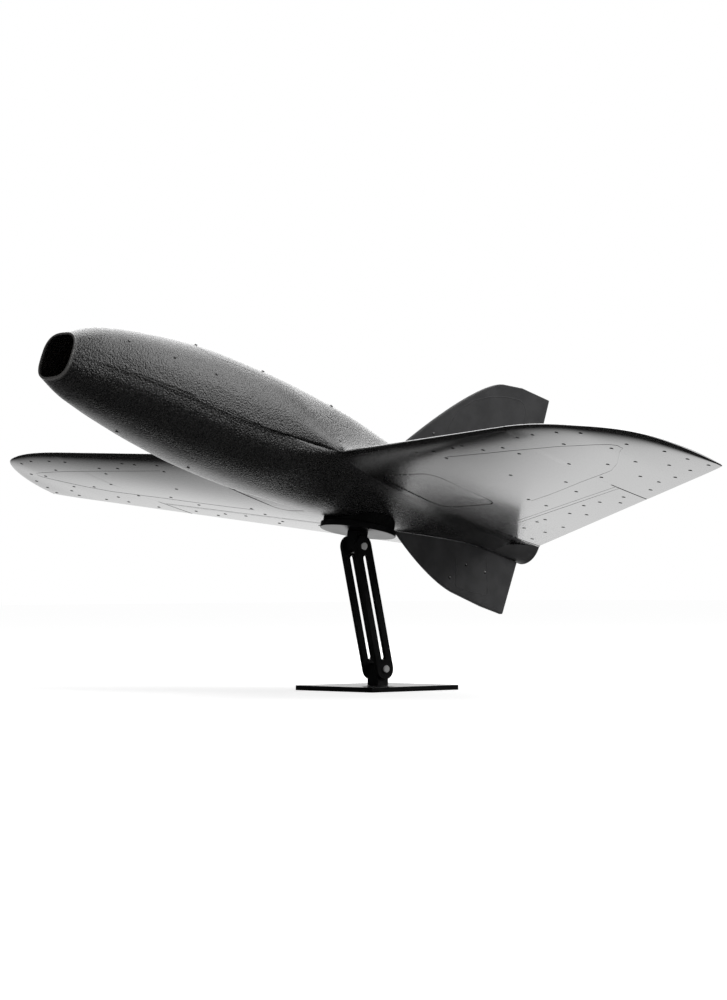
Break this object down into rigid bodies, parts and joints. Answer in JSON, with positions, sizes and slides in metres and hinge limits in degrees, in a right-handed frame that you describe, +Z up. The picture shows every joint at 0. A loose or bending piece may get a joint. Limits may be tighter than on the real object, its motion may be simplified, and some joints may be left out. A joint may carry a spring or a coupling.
{
  "type": "radio-controlled flying wing",
  "caption": "Black foam flying wing with a round body, two elevons, upper and lower tail fins and a rear motor, held nose-up on a small tilting stand with slotted links.",
  "frame": {"origin": "centre of the base plate's underside, on the table", "axes": "+X towards the nose, +Y towards the left wing tip, +Z up"},
  "size_m": [0.4763, 0.73, 0.2553],
  "materials": {
    "foam_black": "moulded bead foam, satin black, fine grain",
    "tail_plastic": "satin dark plastic",
    "stand_black": "satin black powder coat on steel",
    "screw_steel": "plated steel",
    "pad_rubber": "black foam rubber",
    "carbon": "carbon tube",
    "plywood": "thin plywood",
    "battery_wrap": "blue shrink wrap, no print",
    "strap_webbing": "woven strap",
    "electronics_board": "green board",
    "servo_case": "black nylon",
    "stator_copper": "copper windings",
    "motor_alloy": "dark anodised",
    "magnet_nickel": "nickel plate"
  },
  "bodies": {
    "stand_base": {"base_plate": "stand_black", "base_knuckle": "stand_black", "base_screws": "screw_steel"},
    "stand_arm": {"link_left": "stand_black", "link_right": "stand_black", "pivot_screws": "screw_steel", "pivot_nuts": "screw_steel"},
    "airframe": {"top_knuckle": "stand_black", "top_plate": "stand_black", "plate_screws": "screw_steel", "saddle_pad": "pad_rubber", "fuselage_lower": "foam_black", "fuselage_upper": "foam_black", "wing_left": "foam_black", "wing_right": "foam_black", "dorsal_fin": "foam_black", "ventral_fin": "foam_black", "tail_tube": "tail_plastic", "main_spar": "carbon", "front_former": "plywood", "rear_former": "plywood", "equipment_tray": "plywood", "battery": "battery_wrap", "battery_strap": "strap_webbing", "speed_controller": "electronics_board", "receiver": "electronics_board", "servo_left": "servo_case", "servo_right": "servo_case", "servo_cover_left": "foam_black", "servo_cover_right": "foam_black", "motor_plate": "tail_plastic", "motor_screws": "screw_steel", "motor_stator": "stator_copper", "former_magnets": "magnet_nickel"},
    "battery_hatch": {"battery_hatch": "foam_black", "hatch_magnets": "magnet_nickel"},
    "elevon_left": {"elevon_left": "foam_black", "control_horn_left": "servo_case"},
    "elevon_right": {"elevon_right": "foam_black", "control_horn_right": "servo_case"},
    "servo_arm_left": {"servo_arm_left": "servo_case"},
    "servo_arm_right": {"servo_arm_right": "servo_case"},
    "pushrod_left": {"pushrod_left": "screw_steel"},
    "pushrod_right": {"pushrod_right": "screw_steel"},
    "motor_rotor": {"motor_bell": "motor_alloy", "motor_shaft": "screw_steel"}
  },
  "joints": [
    {"name": "stand_tilt", "type": "hinge", "parent": "stand_base", "child": "stand_arm", "pos_m": [-0.00095, 0, 0.0156], "axis": [0, 1, 0], "range_deg": [-10, 18]},
    {"name": "airframe_tilt", "type": "hinge", "parent": "stand_arm", "child": "airframe", "pos_m": [0.02014, 0, 0.10587], "axis": [0, 1, 0], "range_deg": [-12, 18]},
    {"name": "hatch_lift", "type": "slide", "parent": "airframe", "child": "battery_hatch", "axis": [-0.342, 0, 0.9397], "range_m": [0, 0.06]},
    {"name": "motor_spin", "type": "hinge", "parent": "airframe", "child": "motor_rotor", "pos_m": [-0.15494, 0, 0.10711], "axis": [0.9608, 0, 0.2773], "continuous": true},
    {"name": "elevon_left_hinge", "type": "hinge", "parent": "airframe", "child": "elevon_left", "pos_m": [-0.04707, 0.115, 0.12483], "axis": [0.335, 0.9343, 0.1219], "range_deg": [-25, 25]},
    {"name": "servo_arm_left_turn", "type": "hinge", "parent": "airframe", "child": "servo_arm_left", "pos_m": [0.00669, 0.0929, 0.14649], "axis": [0.335, 0.9343, 0.1219], "range_deg": [-25, 25]},
    {"name": "pushrod_left_pivot", "type": "hinge", "parent": "servo_arm_left", "child": "pushrod_left", "pos_m": [0.00122, 0.0929, 0.16152], "axis": [0.335, 0.9343, 0.1219], "range_deg": [-25, 25]},
    {"name": "elevon_right_hinge", "type": "hinge", "parent": "airframe", "child": "elevon_right", "pos_m": [-0.04707, -0.115, 0.12483], "axis": [-0.335, 0.9343, -0.1219], "range_deg": [-25, 25]},
    {"name": "servo_arm_right_turn", "type": "hinge", "parent": "airframe", "child": "servo_arm_right", "pos_m": [0.00669, -0.0929, 0.14649], "axis": [-0.335, 0.9343, -0.1219], "range_deg": [-25, 25]},
    {"name": "pushrod_right_pivot", "type": "hinge", "parent": "servo_arm_right", "child": "pushrod_right", "pos_m": [0.00122, -0.0929, 0.16152], "axis": [-0.335, 0.9343, -0.1219], "range_deg": [-25, 25]}
  ],
  "couplings": [
    {"joint": "servo_arm_left_turn", "follows": "elevon_left_hinge", "ratio": 1},
    {"joint": "pushrod_left_pivot", "follows": "elevon_left_hinge", "ratio": -1},
    {"joint": "servo_arm_right_turn", "follows": "elevon_right_hinge", "ratio": 1},
    {"joint": "pushrod_right_pivot", "follows": "elevon_right_hinge", "ratio": -1}
  ]
}
